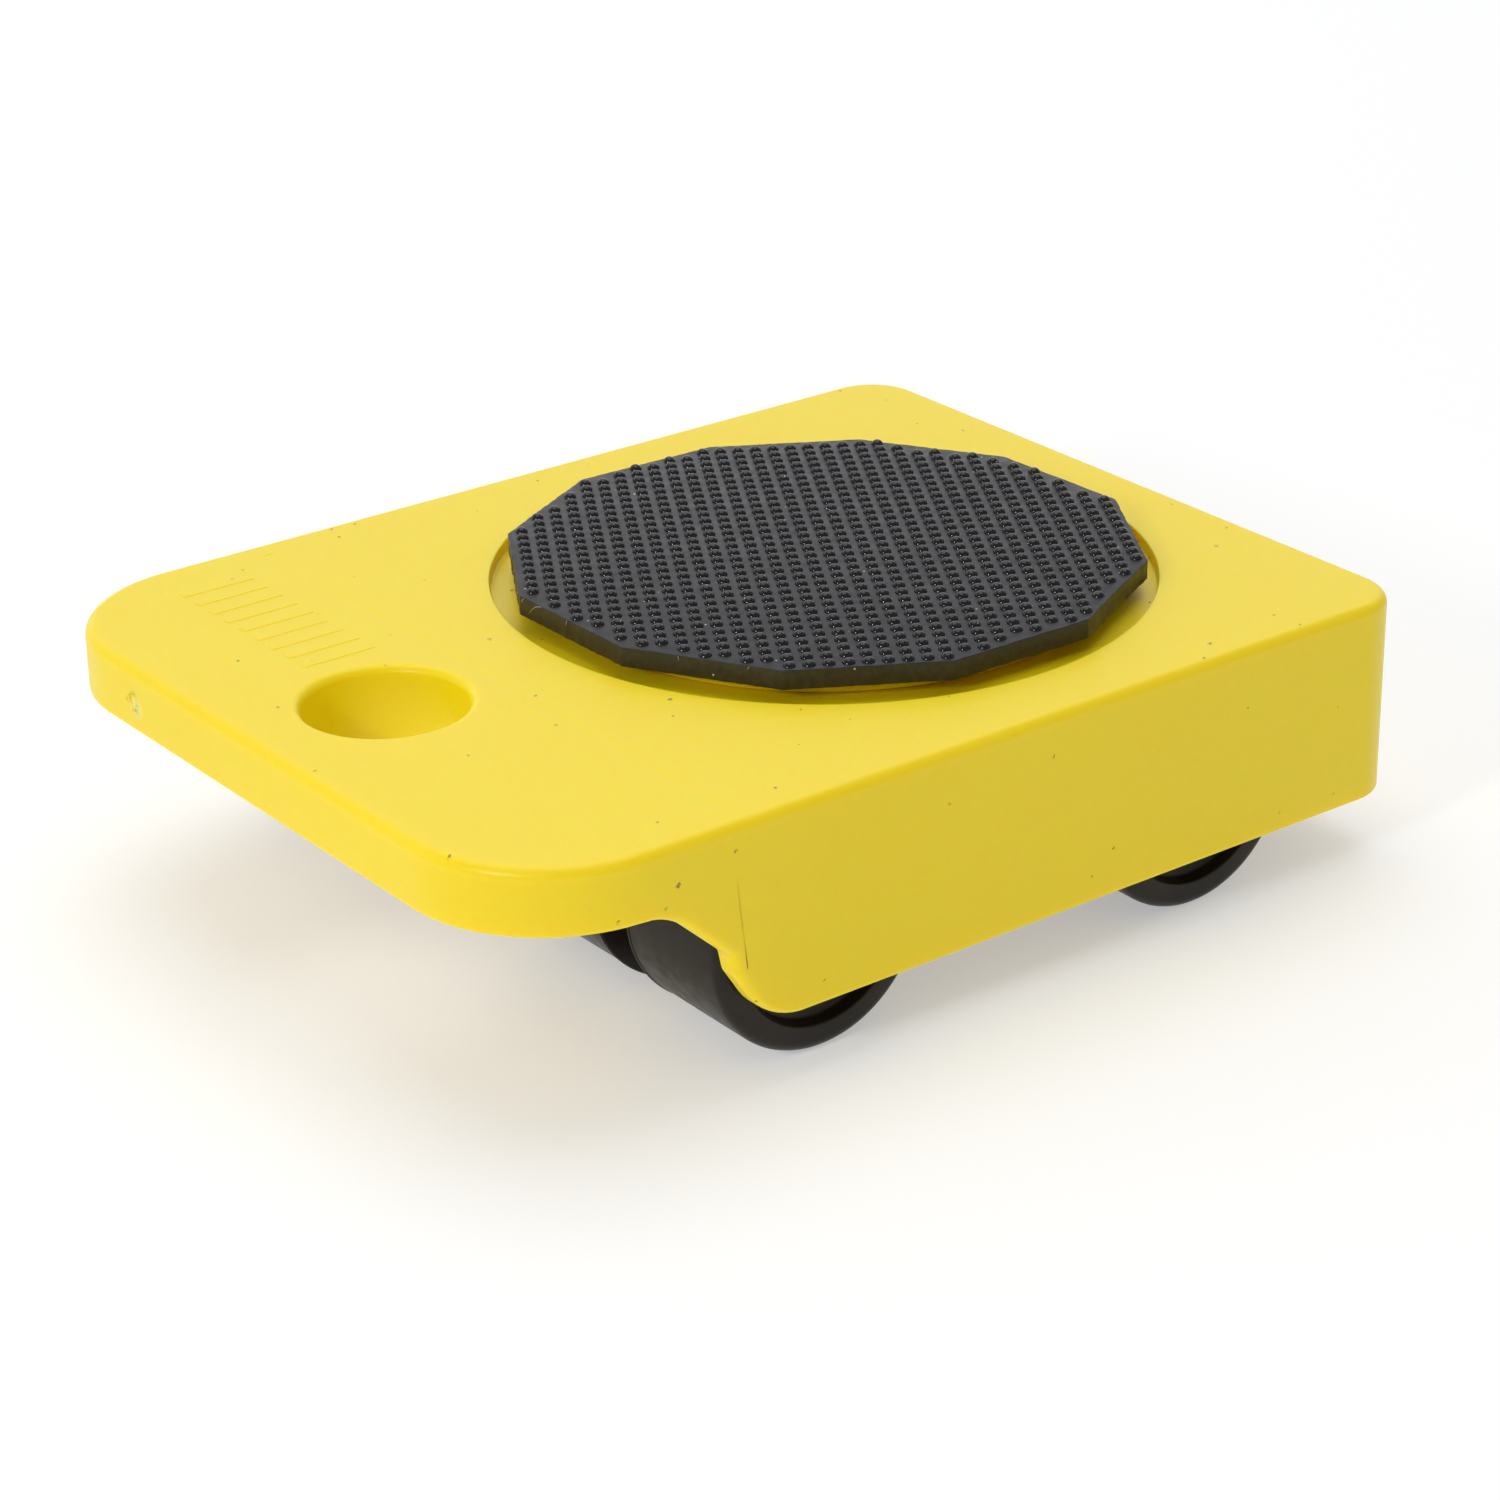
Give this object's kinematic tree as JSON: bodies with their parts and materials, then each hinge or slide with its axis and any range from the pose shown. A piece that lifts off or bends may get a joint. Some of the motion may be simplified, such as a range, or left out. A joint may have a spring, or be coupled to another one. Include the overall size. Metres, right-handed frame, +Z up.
{
  "type": "furniture dolly",
  "caption": "Low moulded furniture dolly with a finger lip and hole, small rollers on cross axles, and a turntable with a studded rubber grip pad on top.",
  "frame": {"origin": "on the floor under the middle of the carrier", "axes": "+Z up, +X along the length away from the finger lip, +Y across, along the axles"},
  "size_m": [0.1, 0.0772, 0.0284],
  "materials": {
    "yellow_plastic": "smooth moulded polypropylene, soft gloss, slightly translucent",
    "pad_rubber": "dull black rubber sheet with glossy studs, cut edges",
    "black_plastic": "smooth moulded black plastic, satin gloss",
    "axle_steel": "drawn steel rod",
    "zinc_steel": "bright zinc plate"
  },
  "bodies": {
    "carrier": {"carrier_shell": "yellow_plastic", "front_axle": "axle_steel", "rear_axle": "axle_steel"},
    "turntable": {"turntable": "yellow_plastic", "grip_pad": "pad_rubber", "pivot_washer": "zinc_steel", "pivot_screw": "zinc_steel"},
    "front_right_outer_wheel": {"front_right_outer_wheel": "black_plastic"},
    "front_right_inner_wheel": {"front_right_inner_wheel": "black_plastic"},
    "front_left_inner_wheel": {"front_left_inner_wheel": "black_plastic"},
    "front_left_outer_wheel": {"front_left_outer_wheel": "black_plastic"},
    "rear_right_outer_wheel": {"rear_right_outer_wheel": "black_plastic"},
    "rear_right_inner_wheel": {"rear_right_inner_wheel": "black_plastic"},
    "rear_left_inner_wheel": {"rear_left_inner_wheel": "black_plastic"},
    "rear_left_outer_wheel": {"rear_left_outer_wheel": "black_plastic"}
  },
  "joints": [
    {"name": "turntable_spin", "type": "hinge", "parent": "carrier", "child": "turntable", "pos_m": [0.012, 0, 0.0245], "axis": [0, 0, 1], "continuous": true},
    {"name": "front_right_outer_roll", "type": "hinge", "parent": "carrier", "child": "front_right_outer_wheel", "pos_m": [-0.0162, -0.029, 0.0112], "axis": [0, 1, 0], "continuous": true},
    {"name": "front_right_inner_roll", "type": "hinge", "parent": "carrier", "child": "front_right_inner_wheel", "pos_m": [-0.0162, -0.0109, 0.0112], "axis": [0, 1, 0], "continuous": true},
    {"name": "front_left_inner_roll", "type": "hinge", "parent": "carrier", "child": "front_left_inner_wheel", "pos_m": [-0.0162, 0.0109, 0.0112], "axis": [0, 1, 0], "continuous": true},
    {"name": "front_left_outer_roll", "type": "hinge", "parent": "carrier", "child": "front_left_outer_wheel", "pos_m": [-0.0162, 0.029, 0.0112], "axis": [0, 1, 0], "continuous": true},
    {"name": "rear_right_outer_roll", "type": "hinge", "parent": "carrier", "child": "rear_right_outer_wheel", "pos_m": [0.027, -0.029, 0.0112], "axis": [0, 1, 0], "continuous": true},
    {"name": "rear_right_inner_roll", "type": "hinge", "parent": "carrier", "child": "rear_right_inner_wheel", "pos_m": [0.027, -0.0109, 0.0112], "axis": [0, 1, 0], "continuous": true},
    {"name": "rear_left_inner_roll", "type": "hinge", "parent": "carrier", "child": "rear_left_inner_wheel", "pos_m": [0.027, 0.0109, 0.0112], "axis": [0, 1, 0], "continuous": true},
    {"name": "rear_left_outer_roll", "type": "hinge", "parent": "carrier", "child": "rear_left_outer_wheel", "pos_m": [0.027, 0.029, 0.0112], "axis": [0, 1, 0], "continuous": true}
  ]
}
